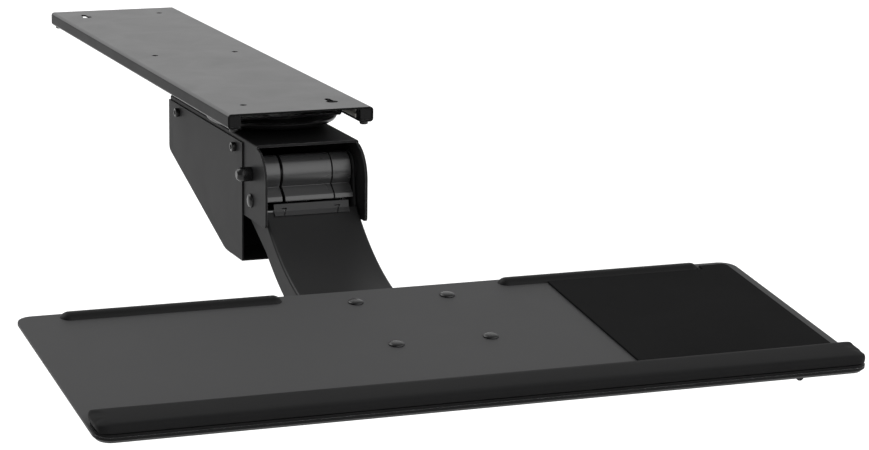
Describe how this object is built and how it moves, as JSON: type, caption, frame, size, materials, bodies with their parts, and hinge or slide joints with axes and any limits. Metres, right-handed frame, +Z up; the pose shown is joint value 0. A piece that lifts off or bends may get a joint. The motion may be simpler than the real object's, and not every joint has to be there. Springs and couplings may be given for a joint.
{
  "type": "under-desk keyboard and mouse platform",
  "caption": "Keyboard and mouse platform with a palm rest, on a curved lift arm that swivels, slides along an under-desk track and tilts.",
  "frame": {"origin": "centre of the track's top face, which meets the underside of the desk", "axes": "+X to the user's right (the mouse side), +Y back under the desk along the track, +Z up into the desk"},
  "size_m": [0.692, 1.2339, 0.1845],
  "materials": {
    "painted_steel": "satin",
    "dark_steel": "semi-gloss",
    "platform_board": "fine matt grain",
    "black_moulding": "satin",
    "sleeve_moulding": "satin",
    "black_fittings": "gloss",
    "zinc_parts": "zinc plated",
    "nylon": "matt",
    "mat_fabric": "matt cloth",
    "palm_pad": "soft matt skin"
  },
  "bodies": {
    "track": {"track": "painted_steel", "end_stops": "black_moulding", "stop_screws": "black_fittings"},
    "carriage": {"carriage_plate": "dark_steel", "glides": "nylon", "swivel_bolt": "zinc_parts", "swivel_nut": "zinc_parts", "bearing_ring": "black_moulding"},
    "swivel_unit": {"turntable": "dark_steel", "turntable_rivets": "zinc_parts", "swivel_bracket": "painted_steel", "rear_cover": "painted_steel", "cover_screws": "black_fittings", "lift_shaft": "zinc_parts", "shaft_cap": "black_fittings", "friction_washers": "black_moulding", "link_rivets": "black_fittings", "strut_anchor_pin": "zinc_parts"},
    "lift_arm": {"arm_channel": "painted_steel", "arm_bushes": "nylon", "sleeve_left": "sleeve_moulding", "sleeve_middle": "sleeve_moulding", "sleeve_right": "sleeve_moulding", "keeper_plate": "dark_steel", "heel_pin": "zinc_parts"},
    "links": {"link_straps": "dark_steel"},
    "tilt_head": {"tilt_shaft": "zinc_parts", "tilt_levers": "dark_steel", "link_front_pins": "zinc_parts"},
    "tray": {"tray_mount": "painted_steel", "tilt_clamp_bolt": "zinc_parts", "clamp_spacers": "black_moulding", "platform": "platform_board", "tray_bolts": "black_fittings", "tray_nuts": "zinc_parts", "keyboard_stops": "black_moulding", "mouse_mat": "mat_fabric", "palm_board": "black_moulding", "palm_rest": "palm_pad", "palm_screws": "black_fittings", "front_bumper": "black_moulding"},
    "strut_barrel": {"strut_cylinder": "dark_steel"},
    "strut_piston": {"strut_rod": "zinc_parts"}
  },
  "joints": [
    {"name": "track_slide", "type": "slide", "parent": "track", "child": "carriage", "axis": [0, 1, 0], "range_m": [0, 0.514]},
    {"name": "swivel", "type": "hinge", "parent": "carriage", "child": "swivel_unit", "pos_m": [0, -0.256, -0.018], "axis": [0, 0, 1], "range_deg": [-180, 180]},
    {"name": "arm_lift", "type": "hinge", "parent": "swivel_unit", "child": "lift_arm", "pos_m": [0, -0.3525, -0.0595], "axis": [-1, 0, 0], "range_deg": [-22, 8]},
    {"name": "link_swing", "type": "hinge", "parent": "swivel_unit", "child": "links", "pos_m": [0, -0.3525, -0.086], "axis": [-1, 0, 0], "range_deg": [-23, 9]},
    {"name": "head_level", "type": "hinge", "parent": "lift_arm", "child": "tilt_head", "pos_m": [0, -0.6407, -0.1499], "axis": [-1, 0, 0], "range_deg": [-9, 23]},
    {"name": "tray_tilt", "type": "hinge", "parent": "tilt_head", "child": "tray", "pos_m": [0, -0.6407, -0.1499], "axis": [-1, 0, 0], "range_deg": [-6, 16]},
    {"name": "strut_swing", "type": "hinge", "parent": "swivel_unit", "child": "strut_barrel", "pos_m": [0, -0.1, -0.062], "axis": [-1, 0, 0], "range_deg": [-1, 1]},
    {"name": "strut_stroke", "type": "slide", "parent": "strut_barrel", "child": "strut_piston", "axis": [0, -0.9882, -0.1531], "range_m": [-0.0165, 0.0065]}
  ],
  "couplings": [
    {"joint": "link_swing", "follows": "arm_lift", "ratio": 1},
    {"joint": "head_level", "follows": "arm_lift", "ratio": -1},
    {"joint": "strut_swing", "follows": "arm_lift", "ratio": -0.0111},
    {"joint": "strut_stroke", "follows": "arm_lift", "m_per_rad": 0.0406}
  ]
}
